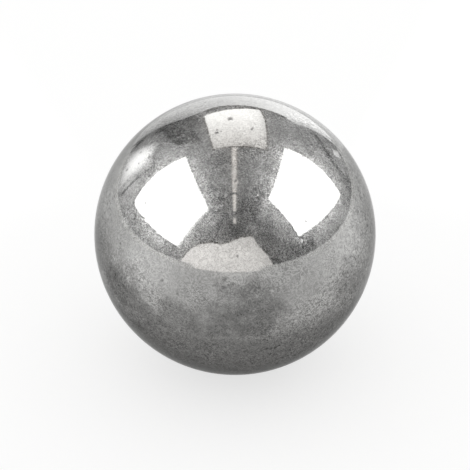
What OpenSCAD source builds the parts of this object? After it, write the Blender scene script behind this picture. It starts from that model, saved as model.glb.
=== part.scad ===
// Solid steel ball, cold headed, ground and lapped from one slug of bar, so it is a plain sphere all over:
// it has no seam, flat, bore or coating.
// The origin is the centre of the ball, and -Z points at the cup, ring or groove that it is held in.

/* [Ball] */
// Diameter of the ball, a stock size of one inch
ball_d = 25.4; // [3:0.1:100]

/* [Hidden] */

// Facets around the ball where it is drawn as a mesh
ball_facets = 180;

// The ball, turned about +Z, with its poles on that axis
module ball()
    color("lightsteelblue")
        sphere(d = ball_d, $fn = ball_facets);

ball();
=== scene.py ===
"""A worn, polished steel ball resting on a pale studio table.

The ball is an icosphere blank with a finer net around its pits. A Geometry Nodes tree rounds the blank,
gives it the slight waviness that lapping leaves, and presses the pits into it. One steel material gives it
its polish, its fine grain, its haze of fine scratches and painted shade: dark patches, mostly on its lower
half, that stand in for the ball's shadows on the table, which it mirrors. Around it stands what it mirrors:
two softboxes, a top panel on a boom, a window, a backdrop, a few cards and stands, and a dim room.

Directions are given as seen from the ball's centre: azimuth 0 is towards the camera, 90 is to the camera's
right and 180 is behind the ball, and elevation is above the horizon, both in degrees.
"""

import math
import random

import bmesh
import bpy
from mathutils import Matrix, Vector
from mathutils.kdtree import KDTree


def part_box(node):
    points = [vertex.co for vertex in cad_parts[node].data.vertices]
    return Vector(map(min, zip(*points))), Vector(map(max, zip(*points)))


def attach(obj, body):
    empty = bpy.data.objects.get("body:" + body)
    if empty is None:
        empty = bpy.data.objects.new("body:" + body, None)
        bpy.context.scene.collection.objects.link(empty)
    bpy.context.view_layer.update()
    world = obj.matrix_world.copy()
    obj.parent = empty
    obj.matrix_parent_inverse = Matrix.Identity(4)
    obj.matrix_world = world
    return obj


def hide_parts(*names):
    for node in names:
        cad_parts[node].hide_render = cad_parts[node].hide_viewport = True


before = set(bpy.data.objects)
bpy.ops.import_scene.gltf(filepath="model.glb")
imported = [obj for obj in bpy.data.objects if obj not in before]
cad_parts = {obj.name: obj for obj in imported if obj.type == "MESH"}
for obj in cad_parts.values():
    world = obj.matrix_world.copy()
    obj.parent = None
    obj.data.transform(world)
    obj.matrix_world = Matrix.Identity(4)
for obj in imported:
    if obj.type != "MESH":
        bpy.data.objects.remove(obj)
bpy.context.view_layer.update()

MM = 0.001

# ---------------------------------------------------------------- camera
LENS = 100.0  # mm
SENSOR = 36.0  # mm
CAMERA_ELEVATION = 29.0  # degrees
BALL_SHARE = 281.6 / 470.0  # of the picture's width that the ball fills
AIM_DROP = 0.006  # of the radius, from the ball's centre down to the point that the camera looks at

# ---------------------------------------------------------------- form of the ball
BLANK_STEPS = 7  # of the icosphere, which then has about 82 000 triangles, 0.2 mm wide
FINER_NETS = (1.3, 0.8)  # of a pit's width, the reach around it of each finer net
BOWL_POWER = 1.5  # of a pit's profile, which eases its rim
WAVE_HEIGHT = 0.0006 * MM  # of the waviness that lapping leaves
WAVE_LENGTH = 2.4 * MM
SURFACE_SEED = 7

# Pits that stand out: azimuth and elevation on the ball, width and depth in mm
PITS = [
    (-10, 79, 0.66, 0.030),
    (-11.5, 78.4, 0.30, 0.012),
    (-21, 70, 0.40, 0.020),
    (-22, 71.5, 0.26, 0.012),
    (21, 72, 0.30, 0.014),
    (23, 72.6, 0.24, 0.010),
    (-45, 34, 0.34, 0.010),
    (32, 30, 0.36, 0.010),
    (1, 21, 0.26, 0.012),
    (-2.4, 10, 0.26, 0.018),
    (-0.8, 10, 0.26, 0.018),
    (-22, 4, 0.28, 0.020),
    (-33, 1, 0.24, 0.016),
    (-34, -1, 0.22, 0.016),
    (-52, 15, 0.24, 0.018),
    (15, -22.6, 0.42, 0.026),
    (13.2, -22.2, 0.42, 0.026),
    (16.9, -21.9, 0.44, 0.028),
    (18.4, -21.0, 0.30, 0.020),
    (12.5, 43, 0.44, 0.020),
    (14.2, 44.5, 0.30, 0.014),
    (10.8, 41.5, 0.32, 0.014),
    (48, -1, 0.28, 0.020),
    (49, 4, 0.26, 0.016),
    (36, 1, 0.26, 0.016),
    (34, -3, 0.26, 0.016),
]
# Fine pits strewn over the rest of the ball
FINE_PITS = 160
FINE_PIT_WIDTH = (0.10, 0.22)  # mm
FINE_PIT_STEEPNESS = 0.06  # depth as a share of the width

# ---------------------------------------------------------------- looks of the steel
STEEL = (0.372, 0.371, 0.366)
WORN_TINT = (0.004, 0.0, -0.004)  # added to it on the worn underside
BLOTCH_DEPTH = 0.30  # of broad changes in its tone
CLOUD_DEPTH = 0.35  # of smaller ones
GRAIN_DEPTH = 0.5  # of its fine grain
SWIRL_DEPTH = 0.13  # of the curls in the grain
SWIRL_TURN = 18.85  # radians, three turns, which draws a few curls from one swell of the noise
GRAIN_HEIGHT = 0.0006 * MM  # of the grain as relief
WORN_GRAIN = 1.8  # added to the grain's strength, which is 1 at mid height, on the worn underside
MOTTLE_DEPTH = 1.7  # of the coarse mottle on its flanks
CLEAN_FACE = (0, 29)  # azimuth and elevation of the middle of the face that has no mottle
FACE_RIM = (0.85, 0.45)  # cosines of the angles from that middle at which the mottle starts and is full
HAZE_EDGE = 0.545  # of the haze noise, above which the steel is hazy
HAZE_GRIT = 0.27  # how far the grain breaks up the haze
CLEAN_ROUGHNESS = 0.03
HAZY_ROUGHNESS = 0.30
DULLEST_ROUGHNESS = 0.60  # where the haze is thickest
PIT_ROUGHNESS = 0.4
PIT_TONE = 0.5  # of the steel's own, at the bottom of a pit
PIT_FLOOR = 0.8  # of a pit's dish, from which it counts as its bottom
EDGE_TINT = (0.565, 0.565, 0.565)  # how far its gloss falls off towards the outline
# Painted shade: dark patches on the steel's colour that stand in for the ball's shadows on the table, which
# it mirrors. Azimuth and elevation of the middle, the angles from it at which a patch starts to fade and has
# gone, and the share of the steel's tone that it takes
SHADE_PATCHES = [
    (0, -90, 73, 88, 0.52),
    (6, -5, 7, 19, 0.58),
    (-6, 1, 3, 11, 0.45),
    (-7, -8, 6, 17, 0.56),
    (-19, -11, 6, 16, 0.45),
    (-52, -6, 6, 17, 0.56),
    (-40, -15, 5, 14, 0.54),
    (-68, 5, 6, 16, 0.34),
    (68, 10, 6, 16, 0.16),
    (51, -5, 4, 17, 0.36),
    (22, 5, 8, 17, 0.15),
    (-11, 8, 8, 18, 0.11),
    (112, -5, 6, 20, 0.45),
    (175, -2, 5, 21, 0.50),
    (-118, -7, 6, 18, 0.45),
]
# Calm spots in the grain: azimuth and elevation of the middle, the angles from it at which the calm starts to
# fade and has gone, and the share of the grain that is left
CALM_SPOTS = [
    (-8, -24, 14, 32, 0.74),
    (-27, 13, 6, 15, 0.60),
    (-77, 43, 7, 13, 0.35),
]

# ---------------------------------------------------------------- studio
LIGHT_DISTANCE = 1.0  # m, from the ball to the softboxes and most of the cards
IN_FRONT = 0.95  # m, from the ball to what stands in front of them
BEHIND = 1.15  # m, from the ball to what stands behind them
LAMP_CELLS = 12  # along each side of a lamp whose glow changes over it
ROOM_RADIUS = 3.0  # m
# Glow of a softbox, at a share of the way out from its middle
SOFTBOX_RINGS = [(1.0, (1.9, 1.9, 1.89)), (0.97, (3.4, 3.4, 3.37)), (0.86, (6.2, 6.2, 6.15))]
FLAP_GLOW = (1.3, 1.3, 1.29)
CASE_SIZE = 1.035  # of the cloth that it frames
CASE_SETBACK = 1.01  # of the light distance
PANEL_CASE_SIZE = 1.07
PANEL_CASE = (0.22, 0.20, 0.18)  # its glow
PANEL_REAR = (3.45, 3.43, 3.38)  # glow of the top panel along its rear edge
PANEL_FRONT = (1.44, 1.39, 1.34)  # glow along its front edge
PANEL_FADE = 0.24  # share of its glow that is lost at its right end
WINDOW_GLOW = (4.3, 4.3, 4.3)  # in its middle
WINDOW_EDGE = (0.8, 0.8, 0.8)
WINDOW_FOOT_FADE = 0.45  # share of its middle's glow that is lost at its foot
CARD_LOW_LEFT = (2.23, 2.17, 2.12)  # glow of the front card at its lower left
CARD_HIGH_RIGHT = (1.52, 1.48, 1.44)
CEILING_HEIGHT = 1.4  # m above the ball
SPILL = (0.62, 0.62, 0.62)  # glow of the ceiling where the softboxes light it
BOOM_WIDTH = 0.078  # ceiling heights
BOOM_SHIFT = -0.008  # ceiling heights to the right of the ball
BOOM_MIDDLE = 0.24  # of its width that is evenly bright
BOOM_GLOW = (1.95, 1.86, 1.77)
BOOM_EDGE = (0.55, 0.53, 0.51)
DARK = (0.03, 0.03, 0.03)  # glow of what is black
SHADED = (0.20, 0.20, 0.20)  # glow of what is dark but not black
ROOM_STEPS = 5  # of the room's icosphere
ROOM_GLOW = 0.34  # before its brighter and darker parts
ROOM_DARKEST = 0.02
# Brighter and darker parts of the room: azimuth, elevation, width in degrees, change of its glow
ROOM_LOBES = [
    (-118, 42, 15, 0.56),
    (-112, 12, 10, 0.35),
    (-100, 66, 22, 0.20),
    (3, 34, 15, -0.16),
    (157, 38, 7, 0.24),
    (-90, 86, 10, -0.20),
    (50, 78, 14, 0.16),
    (-116, 14, 9, 0.32),
    (-122, 12, 7, 0.50),
    (134, 24, 10, 0.18),
    (80, 8, 8, 0.25),
    (153, 24, 8, 0.34),
    (-94, 58, 14, -0.13),
    (-140, 66, 10, 0.12),
    (30, 39, 8, -0.10),
    (138, 6, 9, 0.46),
    (-144, 14, 8, 0.26),
    (104, 4, 9, 0.20),
    (52, 20, 6, 0.16),
    (-30, 28, 6, 0.14),
    (-32, 30, 8, 0.20),
    (-42, 63, 10, 0.06),
    (42, 25, 10, 0.20),
    (66, 12, 8, 0.30),
    (50, 8, 14, -0.16),
    (130, 55, 26, 0.28),
    (-75, 8, 30, 0.24),
    (95, 4, 26, 0.20),
    (125, 26, 14, 0.24),
    (40, 54, 14, 0.10),
]
# Outline of the pale card that leans in front, as azimuth and elevation
FRONT_CARD = [
    (-43.5, -0.4),
    (-38.4, 8.6),
    (-34.6, 13.9),
    (-29.5, 18),
    (-18.5, 21.3),
    (-12.8, 20.4),
    (-6.7, 21.7),
    (0.3, 24.7),
    (5.9, 26.3),
    (15.4, 26.5),
    (19.3, 18.4),
    (25.4, 10.5),
    (30.6, -0.4),
]
BACKDROP_DISTANCE = 1.1  # m
TABLE_RADIUS = 0.9  # m
TABLE_SIDES = 96
TABLE_DROP = 0.0124  # m from the ball's centre down to what lies on the table
LIP_HEIGHT = 0.034  # m above the ball's centre
LIP_END = 0.87  # of the table radius towards the back, where the lip gives way to the backdrop
LIP_GLOW = (1.1, 1.1, 1.08)
TABLE_WHITE = (0.72, 0.72, 0.715)
TABLE_LIFT = 0.275  # added to the table as the camera and mirrors see it, so that it shows as white
TABLE_VEIL = 0.55  # of the table as the camera sees it that is plain white, which thins the shadow
# Pools of lamp light on the table: azimuth, half width in degrees, glow at the middle
TABLE_POOLS = [(-63, 25, 0.31), (98, 25, 0.28), (60, 16, 0.08), (147, 16, 0.17), (-136, 22, 0.13)]
POOL_START = 35.0 * MM  # from the ball's centre
POOL_FULL = 60.0 * MM


def cosine(degrees):
    return math.cos(math.radians(degrees))


def direction(azimuth, elevation):
    """Unit vector that points this way from the ball's centre."""
    a, e = math.radians(azimuth), math.radians(elevation)
    return Vector((math.sin(a) * math.cos(e), -math.cos(a) * math.cos(e), math.sin(e)))


def blend(first, second, share):
    """A colour this share of the way from the first to the second."""
    return tuple(x + (y - x) * share for x, y in zip(first, second))


def mesh_object(name, points, faces, material=None):
    """A mesh object in the scene."""
    mesh = bpy.data.meshes.new(name)
    mesh.from_pydata(points, [], faces)
    if material:
        mesh.materials.append(material)
    made = bpy.data.objects.new(name, mesh)
    bpy.context.scene.collection.objects.link(made)
    return made


class Nodes:
    """Adds nodes to a tree and links them, so that each node of a recipe takes one call."""

    def __init__(self, tree):
        self.tree = tree

    def add(self, kind, inputs=None, **settings):
        """A node of this kind. Each of inputs is a value for that socket, or a socket to link to it."""
        node = self.tree.nodes.new(kind)
        for name, value in settings.items():
            setattr(node, name, value)
        for name, value in (inputs or {}).items():
            socket = node.inputs[name]
            if isinstance(value, bpy.types.NodeSocket):
                self.tree.links.new(value, socket)
            else:
                socket.default_value = value
        return node

    def math(self, operation, a, b=0.0, clamp=False):
        node = self.add("ShaderNodeMath", {0: a, 1: b}, operation=operation, use_clamp=clamp)
        return node.outputs[0]

    def vector(self, operation, a, b=None):
        inputs = {0: a}
        if b is not None:
            inputs["Scale" if operation == "SCALE" else 1] = b
        node = self.add("ShaderNodeVectorMath", inputs, operation=operation)
        gives_number = operation in ("LENGTH", "DISTANCE", "DOT_PRODUCT")
        return node.outputs["Value" if gives_number else "Vector"]

    def spread(self, value, low, high, to_low=0.0, to_high=1.0):
        """value mapped from the range low to high onto to_low to to_high, and held within it."""
        names = ("Value", "From Min", "From Max", "To Min", "To Max")
        node = self.add("ShaderNodeMapRange", dict(zip(names, (value, low, high, to_low, to_high))))
        return node.outputs["Result"]

    def facing(self, way, azimuth, elevation):
        """Cosine of the angle between way and this direction."""
        return self.vector("DOT_PRODUCT", way, direction(azimuth, elevation))

    def spot(self, facing, full, faded, inside):
        """inside within full degrees of the middle, and 1 from faded degrees outwards. facing is a cosine."""
        return self.spread(facing, cosine(faded), cosine(full), 1.0, inside)


# ---------------------------------------------------------------- the ball
def all_pits(radius):
    """(place, width, depth) of every pit, in metres."""
    pits = [(direction(az, el) * radius, width * MM, depth * MM) for az, el, width, depth in PITS]
    dice = random.Random(SURFACE_SEED)
    for _ in range(FINE_PITS):
        way = Vector([dice.gauss(0, 1) for _ in range(3)]).normalized()
        width = dice.uniform(*FINE_PIT_WIDTH) * MM
        pits.append((way * radius, width, width * FINE_PIT_STEEPNESS))
    return pits


def pit_marks(pits):
    """A mesh of loose points, one at each pit, that carries its width and depth."""
    marks = mesh_object("pit_marks", [place for place, _, _ in pits], [])
    for name, column in (("width", 1), ("depth", 2)):
        values = marks.data.attributes.new(name, "FLOAT", "POINT")
        values.data.foreach_set("value", [pit[column] for pit in pits])
    return marks


def ball_blank(radius, pits):
    """An icosphere with a net that is two and four times finer around each pit."""
    net = bmesh.new()
    bmesh.ops.create_icosphere(net, subdivisions=BLANK_STEPS, radius=radius)
    for reach in FINER_NETS:
        tree = KDTree(len(net.verts))
        net.verts.ensure_lookup_table()
        for index, vert in enumerate(net.verts):
            tree.insert(vert.co, index)
        tree.balance()
        near = set()
        for place, width, _ in pits:
            near.update(index for _, index, _ in tree.find_range(place, width * reach))
        net.verts.index_update()
        edges = [edge for edge in net.edges if all(vert.index in near for vert in edge.verts)]
        bmesh.ops.subdivide_edges(net, edges=edges, cuts=1)
    bmesh.ops.triangulate(net, faces=net.faces)
    mesh = bpy.data.meshes.new("steel_ball")
    net.to_mesh(mesh)
    net.free()
    blank = bpy.data.objects.new("steel_ball", mesh)
    bpy.context.scene.collection.objects.link(blank)
    return blank


def worn_skin_tree():
    """Geometry Nodes that round the blank, wave its skin and press the pits into it."""
    tree = bpy.data.node_groups.new("Worn skin", "GeometryNodeTree")
    for name, kind in (
        ("Geometry", "NodeSocketGeometry"),
        ("Radius", "NodeSocketFloat"),
        ("Pits", "NodeSocketObject"),
        ("Wave Height", "NodeSocketFloat"),
        ("Wave Length", "NodeSocketFloat"),
        ("Seed", "NodeSocketInt"),
        ("Steel", "NodeSocketMaterial"),
    ):
        tree.interface.new_socket(name, in_out="INPUT", socket_type=kind)
    tree.interface.new_socket("Geometry", in_out="OUTPUT", socket_type="NodeSocketGeometry")
    nodes = Nodes(tree)
    given = nodes.add("NodeGroupInput").outputs

    outward = nodes.vector("NORMALIZE", nodes.add("GeometryNodeInputPosition").outputs[0])
    on_sphere = nodes.vector("SCALE", outward, given["Radius"])

    waves = nodes.add(
        "ShaderNodeTexNoise",
        {
            "Vector": on_sphere,
            "W": given["Seed"],
            "Scale": nodes.math("DIVIDE", 1.0, given["Wave Length"]),
            "Detail": 1.0,
        },
        noise_dimensions="4D",
    )
    swell = nodes.math("MULTIPLY", nodes.math("SUBTRACT", waves.outputs[0], 0.5), given["Wave Height"])

    marks = nodes.add("GeometryNodeObjectInfo", {"Object": given["Pits"]}).outputs["Geometry"]
    nearest = nodes.add(
        "GeometryNodeSampleNearest", {"Geometry": marks, "Sample Position": on_sphere}, domain="POINT"
    ).outputs["Index"]

    def of_nearest(value, data_type="FLOAT"):
        """What the nearest pit has for this value."""
        sample = nodes.add(
            "GeometryNodeSampleIndex",
            {"Geometry": marks, "Index": nearest, "Value": value},
            data_type=data_type,
            domain="POINT",
        )
        return sample.outputs["Value"]

    def carried(name):
        """A number that the nearest pit carries."""
        named = nodes.add("GeometryNodeInputNamedAttribute", {"Name": name}, data_type="FLOAT")
        return of_nearest(named.outputs["Attribute"])

    centre = of_nearest(nodes.add("GeometryNodeInputPosition").outputs[0], "FLOAT_VECTOR")
    away = nodes.vector("DISTANCE", on_sphere, centre)
    share = nodes.math("DIVIDE", away, nodes.math("MULTIPLY", carried("width"), 0.5))
    # 1 in the middle of a pit and 0 from its rim outwards
    dish = nodes.math("SUBTRACT", 1.0, nodes.math("MULTIPLY", share, share), clamp=True)
    bowl = nodes.math("POWER", dish, BOWL_POWER)
    height = nodes.math("SUBTRACT", swell, nodes.math("MULTIPLY", bowl, carried("depth")))

    place = nodes.vector("SCALE", outward, nodes.math("ADD", given["Radius"], height))
    shaped = nodes.add("GeometryNodeSetPosition", {"Geometry": given["Geometry"], "Position": place})
    stored = nodes.add(
        "GeometryNodeStoreNamedAttribute",
        {"Geometry": shaped.outputs[0], "Name": "pit", "Value": dish},
        data_type="FLOAT",
        domain="POINT",
    )
    smooth = nodes.add("GeometryNodeSetShadeSmooth", {"Geometry": stored.outputs[0]})
    real = nodes.add("GeometryNodeRealizeInstances", {"Geometry": smooth.outputs[0]})
    coated = nodes.add(
        "GeometryNodeSetMaterial", {"Geometry": real.outputs[0], "Material": given["Steel"]}
    )
    nodes.add("NodeGroupOutput", {"Geometry": coated.outputs[0]})
    return tree


def made_plain(piece, name):
    """The piece as a plain mesh object, with its modifiers applied."""
    depsgraph = bpy.context.evaluated_depsgraph_get()
    mesh = bpy.data.meshes.new_from_object(piece.evaluated_get(depsgraph))
    piece.modifiers.clear()
    bpy.data.objects.remove(piece)
    mesh.name = name
    plain = bpy.data.objects.new(name, mesh)
    bpy.context.scene.collection.objects.link(plain)
    return plain


def steel_ball(radius, steel):
    """The finished ball, as one plain mesh."""
    pits = all_pits(radius)
    marks = pit_marks(pits)
    blank = ball_blank(radius, pits)
    tree = worn_skin_tree()
    skin = blank.modifiers.new("Worn skin", "NODES")
    skin.node_group = tree
    settings = {
        "Radius": radius,
        "Pits": marks,
        "Wave Height": WAVE_HEIGHT,
        "Wave Length": WAVE_LENGTH,
        "Seed": SURFACE_SEED,
        "Steel": steel,
    }
    for item in tree.interface.items_tree:
        if item.in_out == "INPUT" and item.name in settings:
            skin[item.identifier] = settings[item.name]
    ball = made_plain(blank, "steel_ball")
    bpy.data.objects.remove(marks)
    return ball


# ---------------------------------------------------------------- materials
def new_material(name):
    """A material with no nodes yet, and the Nodes that add to it."""
    material = bpy.data.materials.new(name)
    material.use_nodes = True
    material.node_tree.nodes.clear()
    return material, Nodes(material.node_tree)


def worn_steel_with_painted_shade():
    """Polished bearing steel with a fine grain, a haze of fine scratches and darker pits. Its colour carries
    painted
    shade: dark patches, mostly on its lower half, that stand in for the ball's shadows on the table, which it
    mirrors. Its underside is worn."""
    material, nodes = new_material("worn_polished_steel_with_painted_shade")
    place = nodes.add("ShaderNodeTexCoord").outputs["Object"]

    def noise(width, detail=0.0, roughness=0.5, distortion=0.0, shift=0.0):
        """Noise with features of about this width in mm. shift keeps two of one width apart."""
        moved = nodes.vector("ADD", place, (shift * MM, 0.0, 0.0)) if shift else place
        return nodes.add(
            "ShaderNodeTexNoise",
            {
                "Vector": moved,
                "Scale": 1.0 / (width * MM),
                "Detail": detail,
                "Roughness": roughness,
                "Distortion": distortion,
            },
        ).outputs[0]

    def swing(value, amount):
        """Noise turned into a change to the tone, by amount times its distance from the middle."""
        return nodes.math("MULTIPLY", nodes.math("SUBTRACT", value, 0.5), amount)

    outward = nodes.vector("NORMALIZE", place)
    axes = nodes.add("ShaderNodeSeparateXYZ", {"Vector": place}).outputs
    height = axes["Z"]
    worn = nodes.spread(height, 5.0 * MM, -8.0 * MM, 0.0, 1.0)
    pit = nodes.add("ShaderNodeAttribute", attribute_name="pit").outputs["Fac"]

    blotch = noise(5.0, 5.0, 0.6)
    cloud = noise(1.3, 4.0, 0.6, shift=40.0)
    grain = noise(0.20, distortion=2.0, shift=90.0)
    curls = nodes.math("MULTIPLY", noise(0.6, distortion=2.0, shift=170.0), SWIRL_TURN)
    swirl = nodes.math("SINE", curls)
    # The grain comes and goes in patches
    patchy = nodes.spread(noise(2.2, 2.0, shift=210.0), 0.38, 0.62, 0.68, 1.32)
    grit = nodes.math("ADD", swing(grain, GRAIN_DEPTH), nodes.math("MULTIPLY", swirl, SWIRL_DEPTH))
    grit = nodes.math("MULTIPLY", grit, patchy)
    # It is strong high on the ball and on its worn underside, faint at the crown, and calmer in a few spots
    grain_strength = nodes.spread(height, 8.0 * MM, 9.5 * MM, 1.0, 1.5)
    crown = nodes.spread(height, 11.4 * MM, 12.4 * MM, 1.0, 0.42)
    grain_strength = nodes.math("MULTIPLY", grain_strength, crown)
    grain_strength = nodes.math("ADD", grain_strength, nodes.math("MULTIPLY", worn, WORN_GRAIN))
    for azimuth, elevation, full, faded, left_over in CALM_SPOTS:
        calm = nodes.spot(nodes.facing(outward, azimuth, elevation), full, faded, left_over)
        grain_strength = nodes.math("MULTIPLY", grain_strength, calm)

    # A coarser mottle lies around the face that has no mottle: low down, on the right of the front and far to
    # the left
    flank = nodes.spread(nodes.facing(outward, *CLEAN_FACE), *FACE_RIM)
    low_down = nodes.spread(height, 2.0 * MM, 4.5 * MM, 1.0, 0.0)
    to_the_right = nodes.spread(axes["X"], 3.0 * MM, 6.0 * MM)
    in_front = nodes.spread(axes["Y"], -0.5 * MM, 1.5 * MM, 1.0, 0.0)
    far_left = nodes.spread(axes["X"], -10.2 * MM, -11.4 * MM)
    mottled = nodes.math("MAXIMUM", low_down, nodes.math("MULTIPLY", to_the_right, in_front))
    mottled = nodes.math("MAXIMUM", mottled, far_left)
    mottled = nodes.math("MULTIPLY", flank, mottled)
    mottle = swing(noise(0.38, 1.0, distortion=2.0, shift=250.0), MOTTLE_DEPTH)

    # The painted shade patches have ragged edges, and where they overlap the darker one shows
    ragged = nodes.math("ADD", swing(cloud, 0.08), swing(blotch, 0.10))
    unshaded = 1.0
    for azimuth, elevation, full, faded, taken in SHADE_PATCHES:
        edge = nodes.math("ADD", nodes.facing(outward, azimuth, elevation), ragged)
        unshaded = nodes.math("MINIMUM", unshaded, nodes.spot(edge, full, faded, 1.0 - taken))

    tone = nodes.math("ADD", 1.0, swing(blotch, BLOTCH_DEPTH))
    tone = nodes.math("ADD", tone, swing(cloud, CLOUD_DEPTH))
    tone = nodes.math("ADD", tone, nodes.math("MULTIPLY", grit, grain_strength))
    tone = nodes.math("ADD", tone, nodes.math("MULTIPLY", mottle, mottled))
    # Painted shade: the dark patches darken the steel's colour where it mirrors the ball's shadows on the
    # table
    tone = nodes.math("MULTIPLY", tone, unshaded)
    tone = nodes.math("MULTIPLY", tone, nodes.spread(pit, 0.0, PIT_FLOOR, 1.0, PIT_TONE))
    warmed = nodes.vector("ADD", STEEL, nodes.vector("SCALE", WORN_TINT, worn))
    base = nodes.vector("SCALE", warmed, tone)

    # The haze has crisp edges, and is dullest where it is thickest
    haze = nodes.math("ADD", noise(0.035, shift=130.0), nodes.math("MULTIPLY", grit, HAZE_GRIT))
    haze = nodes.math("ADD", haze, swing(cloud, 0.35))
    rough = nodes.spread(haze, HAZE_EDGE, HAZE_EDGE + 0.02, CLEAN_ROUGHNESS, HAZY_ROUGHNESS)
    thick = nodes.spread(haze, HAZE_EDGE + 0.06, HAZE_EDGE + 0.28, 0.0, DULLEST_ROUGHNESS)
    rough = nodes.math("MAXIMUM", rough, thick)
    rough = nodes.math("MAXIMUM", rough, nodes.spread(pit, 0.0, PIT_FLOOR, 0.0, PIT_ROUGHNESS))

    bump = nodes.add(
        "ShaderNodeBump", {"Strength": 1.0, "Distance": GRAIN_HEIGHT, "Height": grain}
    ).outputs[0]
    shader = nodes.add(
        "ShaderNodeBsdfPrincipled",
        {
            "Base Color": base,
            "Metallic": 1.0,
            "Roughness": rough,
            "Specular Tint": (*EDGE_TINT, 1.0),
            "Normal": bump,
        },
    )
    nodes.add("ShaderNodeOutputMaterial", {"Surface": shader.outputs[0]})
    return material


def table_paper():
    """The table's pale matt sheet. The camera and mirrors see it lifted to white, with soft pools of lamp
    light on it, and for the camera a white veil thins its shadow. It can be seen through from below."""
    material, nodes = new_material("pale_table")
    paper = nodes.add("ShaderNodeBsdfDiffuse", {"Color": (*TABLE_WHITE, 1.0)})
    rays = nodes.add("ShaderNodeLightPath").outputs
    seen = nodes.math("MAXIMUM", rays["Is Camera Ray"], rays["Is Glossy Ray"])
    seen = nodes.math("MAXIMUM", seen, rays["Is Transmission Ray"])
    place = nodes.add("ShaderNodeTexCoord").outputs["Object"]
    way = nodes.vector("NORMALIZE", nodes.vector("MULTIPLY", place, (1.0, 1.0, 0.0)))
    far = nodes.spread(nodes.vector("LENGTH", place), POOL_START, POOL_FULL)
    glow = TABLE_LIFT
    for azimuth, half_width, strength in TABLE_POOLS:
        pool = nodes.spread(nodes.facing(way, azimuth, 0), cosine(half_width), 1.0, 0.0, strength)
        glow = nodes.math("ADD", glow, nodes.math("MULTIPLY", pool, far))
    lift = nodes.add("ShaderNodeEmission", {"Strength": nodes.math("MULTIPLY", seen, glow)})
    lifted = nodes.add("ShaderNodeAddShader", {0: paper.outputs[0], 1: lift.outputs[0]})
    white = nodes.add("ShaderNodeEmission", {"Strength": 1.0})
    veil = nodes.math("MULTIPLY", rays["Is Camera Ray"], TABLE_VEIL)
    veiled = nodes.add("ShaderNodeMixShader", {0: veil, 1: lifted.outputs[0], 2: white.outputs[0]})
    clear = nodes.add("ShaderNodeBsdfTransparent")
    below = nodes.add("ShaderNodeNewGeometry").outputs["Backfacing"]
    mixed = nodes.add("ShaderNodeMixShader", {0: below, 1: veiled.outputs[0], 2: clear.outputs[0]})
    nodes.add("ShaderNodeOutputMaterial", {"Surface": mixed.outputs[0]})
    return material


def glowing(name, sampled="AUTO"):
    """A surface that shines with the colour that its own points carry as glow."""
    material, nodes = new_material(name)
    glow = nodes.add("ShaderNodeAttribute", attribute_name="glow").outputs["Color"]
    light = nodes.add("ShaderNodeEmission", {"Color": glow})
    nodes.add("ShaderNodeOutputMaterial", {"Surface": light.outputs[0]})
    material.cycles.emission_sampling = sampled
    return material


# ---------------------------------------------------------------- studio
def glow_mesh(name, points, faces, colours, material):
    """A mesh that shines with a colour at each point. The steel mirrors it, but the camera doesn't see it and
    it lights no matt surface: the white world lights the table evenly."""
    made = mesh_object(name, points, faces, material)
    glow = made.data.attributes.new("glow", "FLOAT_COLOR", "POINT")
    glow.data.foreach_set("color", [value for colour in colours for value in (*colour, 1.0)])
    made.visible_camera = False
    made.visible_diffuse = False


def card(name, corners, colour, material, distance=LIGHT_DISTANCE):
    """A card of one glow. corners are (azimuth, elevation)."""
    points = [direction(*corner) * distance for corner in corners]
    glow_mesh(name, points, [tuple(range(len(points)))], [colour] * len(points), material)


def fading_card(name, corners, start, end, colours, material):
    """A card whose glow goes from the first of two colours to the other, from start to end."""
    points = [direction(*corner) * LIGHT_DISTANCE for corner in corners]
    first = direction(*start) * LIGHT_DISTANCE
    run = direction(*end) * LIGHT_DISTANCE - first
    shades = [blend(*colours, (point - first).dot(run) / run.length_squared) for point in points]
    glow_mesh(name, points, [tuple(range(len(points)))], shades, material)


def edging(name, corners, rise, colour, material, distance=LIGHT_DISTANCE):
    """A strip along these corners, rise degrees high. A negative rise puts it below them."""
    points = [direction(az, el + lift) * distance for lift in (0, rise) for az, el in corners]
    count = len(corners)
    faces = [(k, k + 1, k + 1 + count, k + count) for k in range(count - 1)]
    glow_mesh(name, points, faces, [colour] * len(points), material)


def lamp_patch(name, corners, colour_at, material, distance=LIGHT_DISTANCE):
    """A four-cornered lamp. colour_at gives its glow at u, v, which run from its first corner to its second
    and from its first to its last."""
    a, b, c, d = (direction(*corner) * distance for corner in corners)
    steps = [k / LAMP_CELLS for k in range(LAMP_CELLS + 1)]
    points = [a.lerp(b, u).lerp(d.lerp(c, u), v) for v in steps for u in steps]
    colours = [colour_at(u, v) for v in steps for u in steps]
    row = LAMP_CELLS + 1
    starts = [j * row + k for j in range(LAMP_CELLS) for k in range(LAMP_CELLS)]
    faces = [(k, k + 1, k + row + 1, k + row) for k in starts]
    glow_mesh(name, points, faces, colours, material)


def cased(name, corners, size, colour, material):
    """A dark case behind a lamp, which shows as a thin rim around it. size is a share of the lamp's own."""
    ways = [direction(*corner) for corner in corners]
    middle = sum(ways, Vector()) / len(ways)
    rim = [(middle + (way - middle) * size) * CASE_SETBACK * LIGHT_DISTANCE for way in ways]
    glow_mesh(name + "_case", rim, [tuple(range(len(rim)))], [colour] * len(rim), material)


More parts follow.
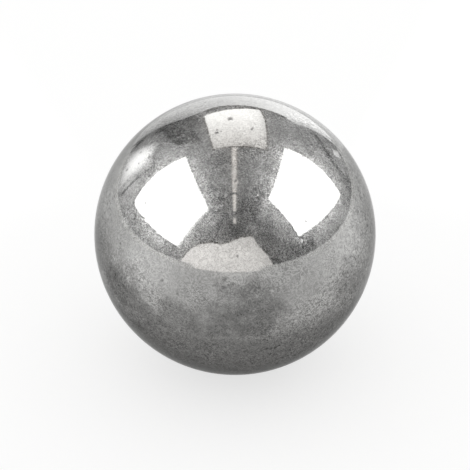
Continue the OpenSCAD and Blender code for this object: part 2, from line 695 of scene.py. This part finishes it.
def softbox(name, corners, cloth, case):
    """A cloth lamp in a dark case. The cloth's glow falls off in rings towards its rim."""
    cased(name, corners, CASE_SIZE, DARK, case)
    ways = [direction(*corner) for corner in corners]
    middle = sum(ways, Vector()) / len(ways)
    points = [
        (middle + (way - middle) * share) * LIGHT_DISTANCE for share, _ in SOFTBOX_RINGS for way in ways
    ]
    colours = [glow for _, glow in SOFTBOX_RINGS for _ in ways]
    count = len(ways)
    faces = [tuple(range(len(points) - count, len(points)))]
    for start in range(0, len(points) - count, count):
        for k in range(count):
            after = (k + 1) % count
            faces.append((start + k, start + after, start + count + after, start + count + k))
    glow_mesh(name, points, faces, colours, cloth)


def ceiling_piece(name, outline, colour, material):
    """A flat piece of the ceiling. outline is in ceiling heights to the right of the ball and behind it."""
    points = [Vector((x, y, 1.0)) * CEILING_HEIGHT for x, y in outline]
    glow_mesh(name, points, [tuple(range(len(points)))], [colour] * len(points), material)


def boom_piece(name, start, end, material):
    """A length of the boom under the ceiling, which is brightest along its middle. start and end are in
    ceiling heights behind the ball."""
    shares = (-0.5, -BOOM_MIDDLE / 2, BOOM_MIDDLE / 2, 0.5)
    rails = [BOOM_SHIFT + BOOM_WIDTH * share for share in shares]
    points = [Vector((x, y, 1.0)) * CEILING_HEIGHT for y in (start, end) for x in rails]
    glow_mesh(
        name,
        points,
        [(k, k + 1, k + 5, k + 4) for k in range(3)],
        [BOOM_EDGE, BOOM_GLOW, BOOM_GLOW, BOOM_EDGE] * 2,
        material,
    )


def table_piece(name, outline, colour, material):
    """A flat piece that lies on the table. outline is (azimuth, elevation) on it."""
    ways = [direction(*corner) for corner in outline]
    points = [way * (TABLE_DROP / -way.z) for way in ways]
    glow_mesh(name, points, [tuple(range(len(points)))], [colour] * len(points), material)


def soft_lobe(way, azimuth, elevation, width):
    """1 in this direction, falling away softly over width degrees."""
    apart = math.degrees(way.angle(direction(azimuth, elevation)))
    return math.exp(-((apart / width) ** 2))


def wall_glow(way):
    """How bright the dim room is this way."""
    glow = ROOM_GLOW
    for azimuth, elevation, width, change in ROOM_LOBES:
        glow += change * soft_lobe(way, azimuth, elevation, width)
    return max(glow, ROOM_DARKEST)


def soft_window(u, v):
    """The window's glow, which fades towards its edges and its foot."""
    # 1 in the middle of the window, and 0 all along its edges
    middle = 16 * u * (1 - u) * v * (1 - v)
    return blend(WINDOW_EDGE, WINDOW_GLOW, middle * (1 - WINDOW_FOOT_FADE * v))


def panel_glow(u, v):
    """The top panel is brightest along its rear edge, and fades just before its right end."""
    share = 1 - PANEL_FADE * max(0.0, (u - 0.9) / 0.1)
    return tuple(part * share for part in blend(PANEL_REAR, PANEL_FRONT, v))


def backdrop_glow(u, v):
    """The backdrop is brightest on its right and low down, and dims towards its two ends."""
    across = 1.25 + 1.85 * u
    down = 0.9 + 0.45 * v
    right_end = max(0.0, (u - 0.85) / 0.15)
    left_end = max(0.0, 1 - u / 0.25)
    glow = across * down * (1 - 0.45 * right_end - 0.3 * left_end)
    return (glow, glow, glow)


def lights(lamp, plain):
    """The two softboxes, the top panel and the window."""
    softbox(
        "left_softbox",
        [(-112.6, 55.9), (-28.6, 45.8), (-46.2, 11.2), (-99.7, 13.6), (-101.9, 15.1)],
        lamp,
        plain,
    )
    card("left_softbox_flap", [(-28.6, 45.8), (-27.5, 45.5), (-45, 10.7), (-46.2, 11.2)], FLAP_GLOW, plain)
    softbox("right_softbox", [(126.3, 52.8), (40.9, 50.5), (54, 15.9), (110.4, 11.7)], lamp, plain)
    panel = [(-163.9, 34.4), (169.3, 27.8), (124, 66), (-129.8, 72.3)]
    cased("top_panel", panel, PANEL_CASE_SIZE, PANEL_CASE, plain)
    lamp_patch("top_panel", panel, panel_glow, lamp)
    lamp_patch(
        "window", [(-137.5, 29), (-117.6, 28.3), (-122.2, 1.5), (-143.5, 2.5)], soft_window, plain
    )


def cards(plain):
    """The pale cards, the lit parts of the ceiling and the dark things around the table."""
    lamp_patch(
        "backdrop",
        [(-155, 26), (152.6, 23.5), (149.6, -1), (-151, -1)],
        backdrop_glow,
        plain,
        distance=BACKDROP_DISTANCE,
    )
    table_piece(
        "backdrop_foot",
        [(-152, -1.2), (-160, -4), (-172, -5), (175, -6.5), (158, -9), (149, -1.2)],
        (1.7, 1.7, 1.7),
        plain,
    )
    card(
        "backdrop_rail",
        [
            (-163, 28),
            (-172, 24.4),
            (180, 23.8),
            (168, 23.8),
            (158, 23.2),
            (158, 26),
            (169, 27.3),
            (180, 28.4),
        ],
        (0.10, 0.09, 0.08),
        plain,
        distance=IN_FRONT,
    )
    card(
        "backdrop_post",
        [
            (-163, 28),
            (-157, 25.5),
            (-153.4, 18),
            (-150.6, 8),
            (-149.2, 8),
            (-151.6, 19),
            (-155.6, 27.5),
            (-163, 30),
        ],
        DARK,
        plain,
        distance=IN_FRONT,
    )
    fading_card("front_card", FRONT_CARD, (-30, 4), (12, 26), (CARD_LOW_LEFT, CARD_HIGH_RIGHT), plain)
    edging(
        "front_card_foot",
        [(-45, 1.9), (-34, 1.1), (-25, 0.4), (-12, 0.1), (0, -0.2), (14, 0), (30, 0.8)],
        -2.2,
        (1.02, 1.02, 1.0),
        plain,
        distance=0.88,
    )
    edging("front_card_top", FRONT_CARD[:10], 1.5, (0.08, 0.07, 0.06), plain)
    card(
        "front_card_side",
        [(19.3, 18.4), (25.4, 10.5), (30.6, -0.4), (32.8, -0.4), (27.6, 11), (21.8, 20)],
        DARK,
        plain,
    )
    ceiling_piece("left_spill", [(-0.28, 0.22), (-0.46, -1.4), (-1.3, -1.4), (-1.3, 0.22)], SPILL, plain)
    ceiling_piece(
        "right_spill",
        [(0.32, 0.22), (0.25, -0.19), (0.37, -0.4), (0.47, -0.87), (0.47, -1.2), (1.4, -1.2), (1.4, 0.22)],
        SPILL,
        plain,
    )
    ceiling_piece(
        "right_beam",
        [(0.06, -0.7), (0.34, -0.62), (0.42, -0.9), (0.42, -1.42), (0.06, -1.42)],
        SHADED,
        plain,
    )
    # The boom's three lengths, each from one elevation to the other
    for number, ends in enumerate([(37, 42), (47, 60), (62, 102)]):
        start, end = (-1 / math.tan(math.radians(elevation)) for elevation in ends)
        boom_piece(f"boom_{number}", start, end, plain)
    card(
        "back_drape",
        [
            (-146.5, 4),
            (-150, 4),
            (-153, 17),
            (-157, 26),
            (-161, 29),
            (-164, 32),
            (-154, 40),
            (-146, 50),
            (-138, 60),
            (-131, 52),
            (-130, 45),
            (-137, 35),
            (-147.5, 23),
            (-147.5, 15),
        ],
        SHADED,
        plain,
        distance=BEHIND,
    )
    card(
        "front_chair",
        [
            (29, 0),
            (19, 20),
            (15, 27),
            (30, 27),
            (38, 20),
            (47, 13),
            (57, 11.5),
            (65.5, 9.5),
            (66, 3),
            (50, 0),
        ],
        SHADED,
        plain,
        distance=BEHIND,
    )
    card(
        "left_stand",
        [(-115.2, 31), (-113.4, 31), (-115.1, 15), (-116.8, 4.6), (-119, 4.6), (-116.9, 15)],
        DARK,
        plain,
        distance=IN_FRONT,
    )
    card(
        "right_post",
        [
            (147, 18.5),
            (137, 20),
            (130, 19.5),
            (126.5, 15),
            (126, 10),
            (127, 8),
            (130, 8),
            (129.5, 11),
            (132, 15.5),
            (138, 16.5),
            (147, 15),
        ],
        (0.25, 0.25, 0.25),
        plain,
        distance=1.05,
    )
    card("right_glint", [(142, 10), (138, 11), (140, 6), (145, 4)], (2.2, 2.2, 2.2), plain, distance=1.05)
    card("right_rail", [(78, 4.8), (78, 2.2), (98, 2.6), (98, 5.2)], (0.45, 0.45, 0.44), plain, distance=1.1)
    card("low_bar", [(132, 6), (112, 6), (114, 3.6), (132, 2)], (0.33, 0.33, 0.33), plain, distance=IN_FRONT)
    card("softbox_foot", [(54, 13.5), (57, 13), (55.5, 10.5)], (3.0, 3.0, 3.0), plain)


def room(walls):
    """The dim room around everything, as a sphere."""
    net = bmesh.new()
    bmesh.ops.create_icosphere(net, subdivisions=ROOM_STEPS, radius=ROOM_RADIUS)
    points = [vert.co.copy() for vert in net.verts]
    faces = [tuple(vert.index for vert in face.verts) for face in net.faces]
    net.free()
    glow_mesh("room", points, faces, [(wall_glow(point),) * 3 for point in points], walls)


def pool_light(azimuth):
    """What the softboxes add to the lip of the table at this azimuth, as a share of its own glow."""
    added = 0.0
    for middle, half_width, strength in TABLE_POOLS:
        edge = cosine(half_width)
        added += strength * max(0.0, (cosine(azimuth - middle) - edge) / (1.0 - edge))
    return added


def table(radius, plain):
    """A round table just under the ball, with a low pale lip around its edge."""
    sides = TABLE_SIDES
    angles = [360 * k / sides for k in range(sides)]
    ways = [direction(angle, 0) for angle in angles]
    rim = [way * TABLE_RADIUS - Vector((0, 0, radius)) for way in ways]
    top = mesh_object("table", rim, [tuple(range(sides))], table_paper())
    raised = [way * TABLE_RADIUS + Vector((0, 0, LIP_HEIGHT)) for way in ways]
    faces = [
        (k, (k + 1) % sides, sides + (k + 1) % sides, sides + k)
        for k in range(sides)
        if ways[k].y < LIP_END
    ]
    lit = [tuple(part * (1 + pool_light(angle)) for part in LIP_GLOW) for angle in angles]
    glow_mesh("table_lip", rim + raised, faces, lit + lit, plain)


def studio(radius):
    """Everything around the ball. Only the lamps are sampled as lights."""
    plain = glowing("lit_card", "NONE")
    lights(glowing("lamp"), plain)
    cards(plain)
    room(glowing("room_walls", "NONE"))
    table(radius, plain)


def white_world():
    """A white surround, which lights the table evenly."""
    world = bpy.data.worlds.new("white_surround")
    world.use_nodes = True
    world.node_tree.nodes["Background"].inputs["Color"].default_value = (1.0, 1.0, 1.0, 1.0)
    world.cycles.sampling_method = "NONE"
    bpy.context.scene.world = world


def studio_camera(radius):
    """Looks down at the ball, from where it fills its share of the picture."""
    half = math.atan(BALL_SHARE * SENSOR / 2 / LENS)
    aim = Vector((0.0, 0.0, -AIM_DROP * radius))
    back = direction(0, CAMERA_ELEVATION)
    lens = bpy.data.cameras.new("camera")
    lens.lens = LENS
    lens.sensor_width = SENSOR
    lens.clip_start = 0.001  # m
    lens.clip_end = 10.0  # m
    camera = bpy.data.objects.new("camera", lens)
    camera.location = aim + back * (radius / math.sin(half))
    camera.rotation_mode = "QUATERNION"
    camera.rotation_quaternion = (-back).to_track_quat("-Z", "Y")
    bpy.context.scene.collection.objects.link(camera)
    bpy.context.scene.camera = camera


low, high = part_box("ball")
studio_camera(high.z)
studio(high.z)
white_world()
# The drawn ball keeps inside the flats of the CAD mesh, which are 5 thousandths of a millimetre deep
skin_radius = min(*high, *-low) - WAVE_HEIGHT
ball = steel_ball(skin_radius, worn_steel_with_painted_shade())
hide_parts("ball")
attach(ball, "root")
bpy.context.scene.view_settings.view_transform = "Standard"
